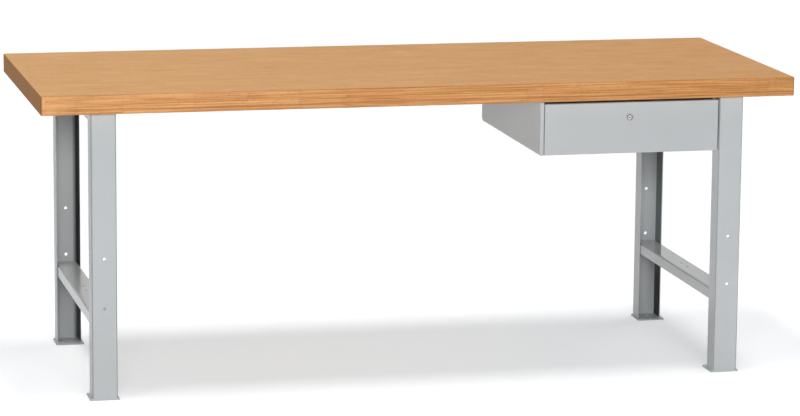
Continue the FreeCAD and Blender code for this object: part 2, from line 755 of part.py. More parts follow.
def make_lock_cam():
    """Round-ended plate on the plug's tail. It lies sideways when unlocked."""
    half = cam_width / 2
    hub = rod(cam_width, cam_thickness, Vector(lock_x, cam_front_y, lock_z), Y_AXIS)
    tip = rod(cam_width, cam_thickness, Vector(lock_x + cam_reach, cam_front_y, lock_z), Y_AXIS)
    arm = block(Vector(lock_x, cam_front_y, lock_z - half),
                Vector(lock_x + cam_reach, cam_back_y, lock_z + half))
    hole_half = tail_square / 2 + cam_hole_clearance
    hole = block(Vector(lock_x - hole_half, cam_front_y, lock_z - hole_half),
                 Vector(lock_x + hole_half, cam_back_y, lock_z + hole_half))
    return hub.fuse([tip, arm]).removeSplitter().cut(hole)


def make_cam_screw():
    """Screw with a wide head that keeps the cam on the plug."""
    head = dome(cam_screw_head_diameter, cam_screw_head_height)
    return headed_pin(head, cam_screw_diameter, cam_screw_length, Vector(lock_x, cam_back_y, lock_z), Y_AXIS)


os.makedirs("parts", exist_ok=True)

keep("worktop", make_worktop())
SIDES = (("left", -1), ("right", 1))
ENDS = (("front", -1), ("rear", 1))
for side_name, side in SIDES:
    for end_name, end in ENDS:
        keep("leg_" + end_name + "_" + side_name, make_leg(side, end))
        keep("foot_plate_" + end_name + "_" + side_name, make_foot_plate(side, end))
    keep("lower_tie_" + side_name,
         make_tie(side, lower_tie_top, (-tie_hole_spacing / 2, tie_hole_spacing / 2), tie_hole_diameter))
    rail_bolt_ys = [at.y for at in frame_bolt_places if at.x * side > 0]
    keep("top_rail_" + side_name,
         make_tie(side, underside_z, rail_bolt_ys, frame_bolt_diameter + 2 * frame_bolt_clearance))
keep("worktop_inserts", *[make_insert(at) for at in frame_bolt_places])
keep("frame_bolts", *[make_frame_bolt(at) for at in frame_bolt_places])
keep("frame_washers", *[make_washer(at) for at in frame_bolt_places])

for side_name, side in SIDES:
    keep("casing_side_" + side_name, make_casing_side(side))
    keep("runner_bracket_" + side_name, make_runner_bracket(side))
    keep("runner_cabinet_rail_" + side_name, make_cabinet_rail(side))
    keep("runner_middle_rail_" + side_name, make_middle_rail(side))
    keep("runner_drawer_rail_" + side_name, make_drawer_rail(side))
    keep("runner_outer_cage_" + side_name,
         make_cage(side, outer_cage_in, outer_ball_in, outer_ball_rise, outer_ball_diameter))
    keep("runner_outer_balls_" + side_name,
         *make_balls(side, outer_ball_in, outer_ball_rise, outer_ball_diameter))
    keep("runner_inner_cage_" + side_name,
         make_cage(side, inner_cage_in, inner_ball_in, inner_ball_rise, inner_ball_diameter))
    keep("runner_inner_balls_" + side_name,
         *make_balls(side, inner_ball_in, inner_ball_rise, inner_ball_diameter))
keep("casing_back", make_casing_back())
keep("lock_rail", make_lock_rail())
keep("casing_screws", *[make_casing_screw(at, casing_sheet) for at in casing_screw_places],
     *[make_casing_screw(at, lock_rail_sheet) for at in lock_rail_screw_places])
keep("cabinet_rail_rivets", *make_cabinet_rivets(-1), *make_cabinet_rivets(1))

keep("drawer_front", make_drawer_front())
keep("drawer_tray", make_tray())
keep("tray_front_wall", make_tray_front())
keep("tray_back_wall", make_tray_end(tray_rear_y, -1))
keep("drawer_rail_rivets", *make_drawer_rivets(-1), *make_drawer_rivets(1))
keep("panel_nuts", *[make_panel_nut(x, z) for x, z in panel_screw_spots])
keep("panel_screws", *[make_panel_screw(x, z) for x, z in panel_screw_spots])
keep("lock_housing", make_lock_housing())
keep("lock_nut", make_lock_nut())
keep("lock_plug", make_lock_plug())
keep("lock_cam", make_lock_cam())
keep("cam_screw", make_cam_screw())
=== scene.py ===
import bpy
import math
from mathutils import Euler, Matrix, Quaternion, Vector


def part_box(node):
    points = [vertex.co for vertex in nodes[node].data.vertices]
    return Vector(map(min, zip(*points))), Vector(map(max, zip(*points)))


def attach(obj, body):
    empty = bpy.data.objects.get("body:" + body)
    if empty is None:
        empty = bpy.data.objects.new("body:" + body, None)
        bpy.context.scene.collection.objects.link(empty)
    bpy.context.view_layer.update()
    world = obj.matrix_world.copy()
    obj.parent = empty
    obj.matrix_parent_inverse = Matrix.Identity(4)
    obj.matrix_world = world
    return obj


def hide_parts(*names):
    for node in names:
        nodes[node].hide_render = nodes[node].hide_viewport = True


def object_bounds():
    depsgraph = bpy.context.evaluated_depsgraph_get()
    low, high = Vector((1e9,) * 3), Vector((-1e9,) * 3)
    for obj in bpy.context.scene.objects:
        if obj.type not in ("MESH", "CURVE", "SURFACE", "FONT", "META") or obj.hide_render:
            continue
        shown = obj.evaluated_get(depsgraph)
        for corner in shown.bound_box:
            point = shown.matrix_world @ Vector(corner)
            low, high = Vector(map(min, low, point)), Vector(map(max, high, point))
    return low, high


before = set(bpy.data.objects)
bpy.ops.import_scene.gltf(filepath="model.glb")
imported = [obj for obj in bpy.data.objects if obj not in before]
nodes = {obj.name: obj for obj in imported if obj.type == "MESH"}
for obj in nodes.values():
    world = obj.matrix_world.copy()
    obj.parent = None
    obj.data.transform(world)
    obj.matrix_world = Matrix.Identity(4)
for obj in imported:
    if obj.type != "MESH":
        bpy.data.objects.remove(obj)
cad_low, cad_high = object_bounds()

# Leg frames
# Each end of the bench stands on a welded frame: two upright channels folded from 2.5 mm sheet, a foot
# plate under each, a tie near the floor and a rail under the board. It is powder coated as one piece.
MM = 0.001                      # the frame is in metres
leg_low, leg_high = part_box("leg_front_right")
leg_middle = (leg_low.x + leg_high.x) / 2
leg_width = leg_high.x - leg_low.x
leg_depth = leg_high.y - leg_low.y
leg_web = -leg_low.y            # outer face of a web, from the middle of the bench
leg_sheet = 2.5 * MM
foot_plate_top = leg_low.z
underside = leg_high.z          # of the board
tie_low, tie_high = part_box("lower_tie_right")
tie_width = tie_high.x - tie_low.x
tie_depth = tie_high.z - tie_low.z
lower_tie_top = tie_high.z


def linear(hex_colour):
    """A six-digit sRGB colour as linear red, green, blue and alpha."""
    channels = [int(hex_colour[place:place + 2], 16) / 255 for place in (0, 2, 4)]
    return [c / 12.92 if c <= 0.04045 else ((c + 0.055) / 1.055) ** 2.4 for c in channels] + [1.0]


def add(tree, kind, inputs=None, **settings):
    """Add a node with its settings. Each input gets a value, a named output or a node's first output."""
    node = tree.nodes.new("ShaderNode" + kind)
    for name, value in settings.items():
        setattr(node, name, value)
    for name, value in (inputs or {}).items():
        socket = next(s for s in node.inputs if name in (s.identifier, s.name))
        if isinstance(value, bpy.types.Node):
            value = next(output for output in value.outputs if output.enabled)
        if isinstance(value, bpy.types.NodeSocket):
            tree.links.new(value, socket)
        else:
            socket.default_value = value
    return node


def new_material(name):
    """An empty material and its node tree."""
    material = bpy.data.materials.new(name)
    material.use_nodes = True
    material.node_tree.nodes.clear()
    return material, material.node_tree


def dress(material, *names):
    """Give CAD nodes a material in place of their plain one."""
    for name in names:
        nodes[name].data.materials.clear()
        nodes[name].data.materials.append(material)


# Powder coat: polyester powder baked on steel. It gives an even glossy film with a faint orange peel and
# cloudy patches. The film draws thin on sheet edges. Folds are drawn darker, a painted shade line, and the
# tops of the ties pale, a painted highlight for the white they reflect. Holes, tight inner corners and
# the inner faces of the leg channels get a near-black painted shade, made rough so that it takes no gloss.
paint_colour = linear("C8CCCE")
# Thin film on sheet edges; on folds the same colour is a painted shade line
thin_paint_and_fold_shade_colour = linear("8A8E92")
# Painted highlight on top of the ties, for the bright backdrop they reflect
painted_highlight_colour = linear("E6EDF6")
# Near-black painted shade for holes, tight corners and the leg channels' insides
painted_shade_colour = linear("0F0E0D")
paint_cloud_size = 300 * MM
paint_peel_size = 4 * MM        # twice the real size, so that it shows
paint_speck_size = 1.5 * MM
paint_edge_width = 1.2 * MM
paint_edge_share = 0.25
# How close walls stand round a point before it gets the painted shade of a hole
hole_reach = 8 * MM             # a hole is where the walls stand closer than this
hole_shade_share = 0.9
hole_shade_fade = 0.25
# Where the painted shade lies inside the leg channels
flange_from = 10 * MM           # a face this far from the middle of its leg begins to be a flange's,
flange_full = 25 * MM           # and here it is one
corner_from = 18 * MM           # the same for the corner of a web
corner_full = 30 * MM
flat_cosine = 0.97              # up to this turn a surface is flat,
edge_cosine = 0.75              # from this one on it is the edge of a sheet,
fold_cosine = 0.82              # and from this one on a fold
highlight_cosine = 0.9                # up to this turn it faces up
noise_spread = {"From Min": 0.3, "From Max": 0.7}       # most values of a noise texture lie here


def squareness(tree, normal):
    """How squarely a surface looks along one of the three axes: 1 where it is flat, less on a round."""
    axes = add(tree, "VectorMath", {"Vector": normal}, operation="ABSOLUTE")
    axes = add(tree, "SeparateXYZ", {"Vector": axes}).outputs
    most = add(tree, "Math", {"Value": axes["X"], "Value_001": axes["Y"]}, operation="MAXIMUM")
    return add(tree, "Math", {"Value": most, "Value_001": axes["Z"]}, operation="MAXIMUM")


def channel_shade(tree, coords, patches, flange_share, corner_share):
    """Painted shade inside a leg channel: on the flanges, and a painted shadow in the web's right corner."""
    place = add(tree, "SeparateXYZ", {"Vector": coords.outputs["Object"]}).outputs
    facing = add(tree, "SeparateXYZ", {"Vector": coords.outputs["Normal"]}).outputs
    side = add(tree, "Math", {"Value": place["X"]}, operation="SIGN")
    from_middle = add(tree, "Math", {"Value": side, "Value_001": -leg_middle, "Value_002": place["X"]},
                      operation="MULTIPLY_ADD")
    # A flange's inner face looks to the middle of its leg. The painted shade is deepest below the tie
    outward = add(tree, "Math", {"Value": from_middle, "Value_001": facing["X"]}, operation="MULTIPLY")
    shade_share = add(tree, "MapRange", {"Value": place["Z"], "From Min": lower_tie_top,
                                        "From Max": lower_tie_top / 2, "To Min": flange_share})
    shade_mask = add(tree, "MapRange", {"Value": outward, "From Min": -flange_from, "From Max": -flange_full,
                                  "To Max": shade_share})
    # The web's inner face looks to the middle of the bench. Its right corner gets a painted flange shadow
    inward = add(tree, "Math", {"Value": place["Y"], "Value_001": facing["Y"]}, operation="MULTIPLY")
    inward = add(tree, "MapRange", {"Value": inward, "From Min": -leg_web / 4, "From Max": -leg_web / 2})
    corner = add(tree, "MapRange", {"Value": from_middle, "From Min": corner_from, "From Max": corner_full,
                                    "To Max": corner_share})
    corner = add(tree, "Math", {"Value": corner, "Value_001": inward}, operation="MULTIPLY")
    shade_mask = add(tree, "Math", {"Value": shade_mask, "Value_001": corner}, operation="MAXIMUM")
    patchy = add(tree, "MapRange", {"Value": patches, **noise_spread, "To Min": 0.8})
    return add(tree, "Math", {"Value": shade_mask, "Value_001": patchy}, operation="MULTIPLY")


def powder_coat(name, roughness, gloss_level, fold_share=0.0, flange_share=0.0, corner_share=0.0,
                top_share=0.0, hole_shade_start=0.5):
    """The paint, with painted shade on folds, holes and channel insides, and painted highlight on top."""
    material, tree = new_material(name)
    coords = add(tree, "TexCoord")
    place = coords.outputs["Object"]
    normal = coords.outputs["Normal"]
    cloud = add(tree, "TexNoise", {"Vector": place, "Scale": 1 / paint_cloud_size, "Detail": 3.0})
    peel = add(tree, "TexNoise", {"Vector": place, "Scale": 1 / paint_peel_size, "Detail": 2.0})
    specks = add(tree, "TexNoise", {"Vector": place, "Scale": 1 / paint_speck_size, "Detail": 1.0})
    rounded = add(tree, "Bevel", {"Radius": paint_edge_width}, samples=4)
    facing = add(tree, "NewGeometry").outputs["Normal"]
    turn = add(tree, "VectorMath", {"Vector": rounded, "Vector_001": facing}, operation="DOT_PRODUCT")
    thin_and_fold_shade = add(tree, "MapRange", {"Value": turn.outputs["Value"], "From Min": flat_cosine,
                                  "From Max": edge_cosine, "To Max": paint_edge_share})
    if fold_share:
        # A fold is where the surface looks along none of the three axes. It gets a painted shade line
        fold_shade = add(tree, "MapRange", {"Value": squareness(tree, normal), "From Min": flat_cosine,
                                      "From Max": fold_cosine, "To Max": fold_share})
        thin_and_fold_shade = add(tree, "Math", {"Value": thin_and_fold_shade, "Value_001": fold_shade}, operation="MAXIMUM")
    film = add(tree, "Mix", {"Factor_Float": thin_and_fold_shade, "A_Color": paint_colour, "B_Color": thin_paint_and_fold_shade_colour},
               data_type="RGBA")
    # The tops of the ties are drawn pale, a painted highlight for the white they reflect
    if top_share:
        upward = add(tree, "SeparateXYZ", {"Vector": normal}).outputs["Z"]
        top_highlight = add(tree, "MapRange", {"Value": upward, "From Min": highlight_cosine, "To Max": top_share})
        film = add(tree, "Mix", {"Factor_Float": top_highlight, "A_Color": film, "B_Color": painted_highlight_colour},
                   data_type="RGBA")
    # Painted shade in holes and tight inner corners, where the walls stand close
    shut_in = add(tree, "AmbientOcclusion", {"Distance": hole_reach}, samples=8, only_local=True)
    hole_shade = add(tree, "MapRange", {"Value": shut_in.outputs["AO"], "From Min": hole_shade_start,
                                     "From Max": hole_shade_start - hole_shade_fade, "To Max": hole_shade_share})
    film = add(tree, "Mix", {"Factor_Float": hole_shade, "A_Color": film, "B_Color": painted_shade_colour},
               data_type="RGBA")
    gloss = add(tree, "MapRange", {"Value": specks, **noise_spread,
                                   "To Min": 0.75 * roughness, "To Max": 1.25 * roughness})
    bump = add(tree, "Bump", {"Height": peel, "Strength": 0.06, "Distance": 0.1 * MM})
    # In the leg channels: the near-black painted shade, made rough and bumpy so that it takes no gloss
    if flange_share:
        shade_mask = channel_shade(tree, coords, cloud, flange_share, corner_share)
        film = add(tree, "Mix", {"Factor_Float": shade_mask, "A_Color": film, "B_Color": painted_shade_colour},
                   data_type="RGBA")
        gloss = add(tree, "Mix", {"Factor_Float": shade_mask, "A_Float": gloss, "B_Float": 1.0})
        bump = add(tree, "Bump", {"Height": specks, "Strength": shade_mask, "Distance": 0.6 * MM, "Normal": bump})
    shade = add(tree, "MapRange", {"Value": cloud, **noise_spread, "To Min": 0.97, "To Max": 1.03})
    colour = add(tree, "VectorMath", {"Vector": film, "Scale": shade}, operation="SCALE")
    shader = add(tree, "BsdfPrincipled", {"Base Color": colour, "Roughness": gloss, "Normal": bump,
                                          "Specular IOR Level": gloss_level})
    add(tree, "OutputMaterial", {"Surface": shader})
    return material


grey_paint = powder_coat("powder_coat_light_grey", 0.35, 0.3)
# Both ties are drawn pale on top, a painted highlight
left_tie_paint = powder_coat("powder_coat_satin", 0.2, 0.3, fold_share=0.5, top_share=0.5, hole_shade_start=0.95)
right_tie_paint = powder_coat("powder_coat_glossy", 0.1, 0.5, fold_share=0.5, top_share=0.5, hole_shade_start=0.95)
# The left legs get a deeper painted shade in their channels and a painted flange shadow in the web corner
left_leg_paint = powder_coat("powder_coat_deep_channel_shade", 0.3, 0.3, fold_share=0.65, flange_share=1.0,
                             corner_share=0.95)
right_leg_paint = powder_coat("powder_coat_light_channel_shade", 0.25, 0.5, fold_share=0.65, flange_share=0.66,
                              corner_share=0.1)
dress(left_leg_paint, "leg_front_left", "leg_rear_left")
dress(right_leg_paint, "leg_front_right", "leg_rear_right")
dress(left_tie_paint, "lower_tie_left", "top_rail_left")
dress(right_tie_paint, "lower_tie_right", "top_rail_right")
dress(grey_paint, *[name for name in nodes if name.startswith("foot_plate_")])

# Welds
# Short fillet welds join the legs to the foot plates, ties and rails. Each is a row of overlapping
# ripples from a wire torch, brushed off and painted over with the frame.
bead_radius = 2.3 * MM
bead_squeeze = 0.75             # of a ripple, along the seam
bead_roughness = 0.6 * MM
splash_size = 5 * MM
ripple_pitch = 1.8 * MM
web_seam_inset = 8 * MM         # a seam stops this far short of the legs' sides
rail_seam_inset = 4 * MM        # and this far under the board
web_inside = leg_web - leg_sheet
flange_tip = leg_web - leg_depth
crisp_angle = math.radians(35)  # edges sharper than this stay crisp


def join_pieces(pieces, name):
    """Join meshes into one piece under a name, with smooth faces and crisp edges."""
    bpy.ops.object.select_all(action="DESELECT")
    for piece in pieces:
        piece.select_set(True)
    bpy.context.view_layer.objects.active = pieces[0]
    if len(pieces) > 1:
        bpy.ops.object.join()
    bpy.ops.object.shade_smooth_by_angle(angle=crisp_angle)
    pieces[0].name = name
    return pieces[0]


def lay_bead(start, end):
    """A row of flattened ripples from one end of a seam to the other."""
    run = Vector(end) - Vector(start)
    count = round(run.length / ripple_pitch)
    bpy.ops.object.select_all(action="DESELECT")
    bpy.ops.mesh.primitive_uv_sphere_add(segments=10, ring_count=6, radius=bead_radius, location=start)
    bead = bpy.context.object
    squeeze = [bead_squeeze if part else 1.0 for part in run]
    bpy.ops.object.mode_set(mode="EDIT")
    bpy.ops.transform.resize(value=squeeze, center_override=start)
    bpy.ops.object.mode_set(mode="OBJECT")
    bpy.ops.object.transform_apply(location=True, rotation=True, scale=True)
    ripples = bead.modifiers.new("ripples", "ARRAY")
    ripples.count = count + 1
    ripples.use_relative_offset = False
    ripples.use_constant_offset = True
    ripples.constant_offset_displace = run / count
    bpy.ops.object.modifier_apply(modifier="ripples")
    return bead


beads = []
half_seam = leg_width / 2 - web_seam_inset
rail_foot = underside - tie_depth
rail_head = underside - rail_seam_inset
for side in (-1, 1):
    middle = side * leg_middle
    for end in (-1, 1):
        web = end * web_inside
        tip = end * flange_tip
        for height in (foot_plate_top, lower_tie_top):
            beads.append(lay_bead((middle - half_seam, web, height), (middle + half_seam, web, height)))
        for face in (-1, 1):
            outside = middle + face * leg_width / 2
            rail_wall = middle + face * tie_width / 2
            beads.append(lay_bead((outside, web, foot_plate_top), (outside, tip, foot_plate_top)))
            beads.append(lay_bead((rail_wall, tip, rail_foot), (rail_wall, tip, rail_head)))
welds = join_pieces(beads, "frame_welds")
splash = bpy.data.textures.new("weld_splash", "CLOUDS")
splash.noise_scale = splash_size
uneven = welds.modifiers.new("uneven", "DISPLACE")
uneven.texture = splash
uneven.strength = bead_roughness
bpy.ops.object.modifier_apply(modifier="uneven")
welds.data.materials.append(grey_paint)
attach(welds, "frame")

# Board
# A 50 mm board glued up from beech staves that are finger-jointed end to end, then planed, sanded and
# oiled on top and round the edges. It lies on the top rails, with its staves along the bench.
stave_width = 42 * MM
stave_length = 400 * MM
edge_stave_length = 260 * MM    # the outermost staves are pieced from shorter lengths
end_piece_width = 43 * MM       # a plain piece at the left end of the front edge
ring_spacing = 3 * MM
heart_reach = 90 * MM           # a heart lies up to this far to either side of its stave,
heart_drop = 50 * MM            # up to this far below the underside,
heart_rise = 100 * MM           # and up to this far above it
pore_size = 1.5 * MM
growth_line_rise = 13 * MM      # a dark growth line along the front edge, above the underside
growth_line_wander = 7 * MM     # it rises and falls by this much,
growth_line_waves = 400 * MM    # in waves of this length

# Length along the bench, depth and height of each pattern
streak_size = (140 * MM, 7 * MM, 7 * MM)
cloud_size = (120 * MM, 60 * MM, 30 * MM)
fleck_size = (11 * MM, 1.8 * MM, 1.8 * MM)              # twice the real size, so that it shows
line_size = (300 * MM, 40 * MM, 3.2 * MM)
dash_size = (130 * MM, 40 * MM, 3 * MM)
red_size = (160 * MM, 40 * MM, 14 * MM)

# Oiled beech: a pale brown wood, fine and even, with faint streaks along the grain and short darker ray
# flecks. Across the grain, at the ends, it drinks more oil and turns dark. Below it is left raw.
top_light = linear("E8B57B")
top_dark = linear("D0985C")
edge_light = linear("EBB47C")
edge_dark = linear("C08048")
edge_red = linear("E29E68")
edge_line_dark = linear("9A5A26")
arris_shade_colour = linear("A66A38")
end_light = linear("B4751E")
end_dark = linear("8C5212")
raw_colour = linear("C4B49C")
fleck_colour = linear("8A5A30")
seam_colour = linear("9A6A3C")
# A painted falloff of light along the bench: brighter at the left end, darker and browner at the right
left_painted_light = (1.1, 1.1, 1.1, 1)          # times the wood's colour at the left end of the bench
right_painted_shade = (0.94, 0.89, 0.79, 1)      # and at the right end
side_spread = {"From Min": 0.6, "From Max": 0.8}        # cosines at which a rounded edge turns into a side
rare_spread = {"From Min": 0.6, "From Max": 0.72}       # only the highest values of a noise texture


def scale_for(size):
    """The scale that gives a pattern this length, depth and height."""
    return [1 / part for part in size]


beech, tree = new_material("oiled_beech")
coords = add(tree, "TexCoord")
place = coords.outputs["Object"]
along = add(tree, "SeparateXYZ", {"Vector": place}).outputs
facing = add(tree, "SeparateXYZ", {"Vector": coords.outputs["Normal"]}).outputs
on_edge = add(tree, "Math", {"Value": facing["Y"]}, operation="ABSOLUTE")
on_edge = add(tree, "MapRange", {"Value": on_edge, **side_spread})
on_end = add(tree, "Math", {"Value": facing["X"]}, operation="ABSOLUTE")
on_end = add(tree, "MapRange", {"Value": on_end, **side_spread})
below = add(tree, "MapRange", {"Value": facing["Z"], "From Min": -0.8, "From Max": -0.95, "To Max": 0.8})

# Each stave has its own tone and its own stretch of grain. Rows are set far apart in the pattern, so that
# one row's lengths don't follow the next one's.
row_distance = 7.3              # in stave lengths
grain_distance = 3.0            # in metres
row_place = add(tree, "Math", {"Value": along["Y"], "Value_001": stave_width}, operation="DIVIDE")
row = add(tree, "Math", {"Value": row_place}, operation="FLOOR")
length = add(tree, "Mix", {"Factor_Float": on_edge, "A_Float": 1 / stave_length,
                           "B_Float": 1 / edge_stave_length})
along_rows = add(tree, "Math", {"Value": along["X"], "Value_001": length}, operation="MULTIPLY")
row_step = add(tree, "Math", {"Value": row, "Value_001": row_distance}, operation="MULTIPLY")
stave_place = add(tree, "CombineXYZ", {"X": along_rows, "Y": row_step})
stave = add(tree, "TexVoronoi", {"Vector": stave_place, "Scale": 1.0}, voronoi_dimensions="2D")
joint = add(tree, "TexVoronoi", {"Vector": stave_place, "Scale": 1.0}, voronoi_dimensions="2D",
            feature="DISTANCE_TO_EDGE")
stave_random = add(tree, "SeparateColor", {"Color": stave.outputs["Color"]})
shift = add(tree, "VectorMath", {"Vector": stave.outputs["Color"], "Scale": grain_distance},
            operation="SCALE")
grain_place = add(tree, "VectorMath", {"Vector": place, "Vector_001": shift}, operation="ADD")

# Faces: fine streaks along the bench, broad soft clouds and short flecks
streak_place = add(tree, "Mapping", {"Vector": grain_place, "Scale": scale_for(streak_size)})
streak = add(tree, "TexNoise", {"Vector": streak_place, "Scale": 1.0, "Detail": 4.0, "Roughness": 0.6})
cloud_place = add(tree, "Mapping", {"Vector": place, "Scale": scale_for(cloud_size)})
cloud = add(tree, "TexNoise", {"Vector": cloud_place, "Scale": 1.0, "Detail": 5.0, "Roughness": 0.65,
                               "Distortion": 0.5})
fleck_place = add(tree, "Mapping", {"Vector": grain_place, "Scale": scale_for(fleck_size)})
fleck = add(tree, "TexNoise", {"Vector": fleck_place, "Scale": 1.0, "Detail": 1.0})
fleck = add(tree, "MapRange", {"Value": fleck, **rare_spread, "To Max": 0.32})
grain = add(tree, "Math", {"Value": streak, "Value_001": cloud}, operation="ADD")
top_share = add(tree, "MapRange", {"Value": grain, "From Min": 0.5, "From Max": 1.5})
wood = add(tree, "Mix", {"Factor_Float": top_share, "A_Color": top_light, "B_Color": top_dark},
           data_type="RGBA")

# Long edges: growth rings come out as fine lines, here and there as a short dark one. One long dark line
# wanders along the lower part. The end piece is plain.
line_place = add(tree, "Mapping", {"Vector": place, "Scale": scale_for(line_size)})
lines = add(tree, "TexNoise", {"Vector": line_place, "Scale": 1.0, "Detail": 4.0, "Roughness": 0.6,
                               "Distortion": 0.4})
dash_place = add(tree, "Mapping", {"Vector": grain_place, "Scale": scale_for(dash_size)})
dashes = add(tree, "TexNoise", {"Vector": dash_place, "Scale": 1.0, "Detail": 1.0})
dashes = add(tree, "MapRange", {"Value": dashes, **rare_spread, "To Max": 0.5})
red_place = add(tree, "Mapping", {"Vector": grain_place, "Scale": scale_for(red_size)})
reds = add(tree, "TexNoise", {"Vector": red_place, "Scale": 1.0, "Detail": 2.0})
reds = add(tree, "MapRange", {"Value": reds, "From Min": 0.5, "From Max": 0.66, "To Max": 0.7})
wander_place = add(tree, "Mapping", {"Vector": place, "Scale": (1 / growth_line_waves, 0.0, 0.0)})
wander = add(tree, "TexNoise", {"Vector": wander_place, "Scale": 1.0, "Detail": 2.0})
line_height = underside + growth_line_rise
line_rise = add(tree, "MapRange", {"Value": wander, "To Min": line_height - growth_line_wander,
                                   "To Max": line_height + growth_line_wander})
line_away = add(tree, "Math", {"Value": along["Z"], "Value_001": line_rise}, operation="SUBTRACT")
line_away = add(tree, "Math", {"Value": line_away}, operation="ABSOLUTE")
growth_line = add(tree, "MapRange", {"Value": line_away, "From Min": 2.0 * MM, "From Max": 0.7 * MM,
                                     "To Max": 0.45})
dark_lines = add(tree, "Math", {"Value": dashes, "Value_001": growth_line}, operation="MAXIMUM")
past_end = add(tree, "MapRange", {"Value": along["X"], "From Min": cad_low.x + end_piece_width / 2,
                                  "From Max": cad_low.x + end_piece_width * 2, "To Min": 0.35})
dark_lines = add(tree, "Math", {"Value": dark_lines, "Value_001": past_end}, operation="MULTIPLY")
edge_share = add(tree, "MapRange", {"Value": lines, "From Min": 0.36, "From Max": 0.66})
edge_share = add(tree, "Math", {"Value": edge_share, "Value_001": past_end}, operation="MULTIPLY")
edge_wood = add(tree, "Mix", {"Factor_Float": reds, "A_Color": edge_light, "B_Color": edge_red},
                data_type="RGBA")
edge_wood = add(tree, "Mix", {"Factor_Float": edge_share, "A_Color": edge_wood, "B_Color": edge_dark},
                data_type="RGBA")
edge_wood = add(tree, "Mix", {"Factor_Float": dark_lines, "A_Color": edge_wood, "B_Color": edge_line_dark},
                data_type="RGBA")
wood = add(tree, "Mix", {"Factor_Float": on_edge, "A_Color": wood, "B_Color": edge_wood}, data_type="RGBA")

# The wood is drawn paler towards the left end and browner towards the right, a painted falloff of light
to_right = add(tree, "MapRange", {"Value": along["X"], "From Min": cad_low.x, "From Max": cad_high.x})
light_falloff = add(tree, "Mix", {"Factor_Float": to_right, "A_Color": left_painted_light, "B_Color": right_painted_shade},
           data_type="RGBA")
wood = add(tree, "VectorMath", {"Vector": wood, "Vector_001": light_falloff}, operation="MULTIPLY")

# Ends: rings about a heart that lies elsewhere for each stave, and pores
heart = add(tree, "TexWhiteNoise", {"W": row}, noise_dimensions="1D")
heart = add(tree, "SeparateColor", {"Color": heart.outputs["Color"]})
heart_y = add(tree, "MapRange", {"Value": heart.outputs["Red"], "To Min": -heart_reach,
                                 "To Max": heart_reach})
heart_z = add(tree, "MapRange", {"Value": heart.outputs["Green"], "To Min": underside - heart_drop,
                                 "To Max": underside + heart_rise})
stave_start = add(tree, "Math", {"Value": row, "Value_001": stave_width}, operation="MULTIPLY")
in_stave = add(tree, "Math", {"Value": along["Y"], "Value_001": stave_start}, operation="SUBTRACT")
end_place = add(tree, "CombineXYZ", {"Y": in_stave, "Z": along["Z"]})
heart_place = add(tree, "CombineXYZ", {"Y": heart_y, "Z": heart_z})
ring_radius = add(tree, "VectorMath", {"Vector": end_place, "Vector_001": heart_place}, operation="DISTANCE")
ring_turns = add(tree, "Math", {"Value": ring_radius.outputs["Value"],
                                "Value_001": 2 * math.pi / ring_spacing}, operation="MULTIPLY")
rings = add(tree, "Math", {"Value": ring_turns}, operation="SINE")
pores = add(tree, "TexNoise", {"Vector": place, "Scale": 1 / pore_size, "Detail": 1.0})
ring_share = add(tree, "MapRange", {"Value": rings, "From Min": -1.0, "To Min": 0.2})
end_share = add(tree, "Math", {"Value": ring_share, "Value_001": pores}, operation="MULTIPLY")
end_wood = add(tree, "Mix", {"Factor_Float": end_share, "A_Color": end_light, "B_Color": end_dark},
               data_type="RGBA")
wood = add(tree, "Mix", {"Factor_Float": on_end, "A_Color": wood, "B_Color": end_wood}, data_type="RGBA")

# Tone of each stave, raw underside, flecks, eased edges drawn darker as a painted shade line, and glue
# lines, whose places are shares of a stave's width from its middle and of its length from its end
row_middle = 0.5
glue_from = 0.488
glue_full = 0.496
finger_from = 0.006
finger_full = 0.002
tone = add(tree, "MapRange", {"Value": stave_random.outputs["Red"], "To Min": 0.98, "To Max": 1.02})
wood = add(tree, "VectorMath", {"Vector": wood, "Scale": tone}, operation="SCALE")
wood = add(tree, "Mix", {"Factor_Float": below, "A_Color": wood, "B_Color": raw_colour}, data_type="RGBA")
wood = add(tree, "Mix", {"Factor_Float": fleck, "A_Color": wood, "B_Color": fleck_colour}, data_type="RGBA")
# Eased edges are drawn darker, a painted shade line
arris = add(tree, "MapRange", {"Value": squareness(tree, coords.outputs["Normal"]),
                               "From Min": flat_cosine, "From Max": 0.85, "To Max": 0.6})
wood = add(tree, "Mix", {"Factor_Float": arris, "A_Color": wood, "B_Color": arris_shade_colour}, data_type="RGBA")
row_part = add(tree, "Math", {"Value": row_place}, operation="FRACT")
row_edge = add(tree, "Math", {"Value": row_part, "Value_001": row_middle}, operation="SUBTRACT")
row_edge = add(tree, "Math", {"Value": row_edge}, operation="ABSOLUTE")
glue = add(tree, "MapRange", {"Value": row_edge, "From Min": glue_from, "From Max": glue_full,
                              "To Max": 0.2})
finger = add(tree, "MapRange", {"Value": joint, "From Min": finger_from, "From Max": finger_full,
                                "To Max": 0.08})
seam = add(tree, "Math", {"Value": glue, "Value_001": finger}, operation="MAXIMUM")
wood = add(tree, "Mix", {"Factor_Float": seam, "A_Color": wood, "B_Color": seam_colour}, data_type="RGBA")
gloss = add(tree, "MapRange", {"Value": streak, **noise_spread, "To Min": 0.5, "To Max": 0.62})
bump = add(tree, "Bump", {"Height": streak, "Strength": 0.25, "Distance": 0.2 * MM})
shader = add(tree, "BsdfPrincipled", {"Base Color": wood, "Roughness": gloss, "Normal": bump,
                                      "Specular IOR Level": 0.1})
add(tree, "OutputMaterial", {"Surface": shader})
dress(beech, "worktop")

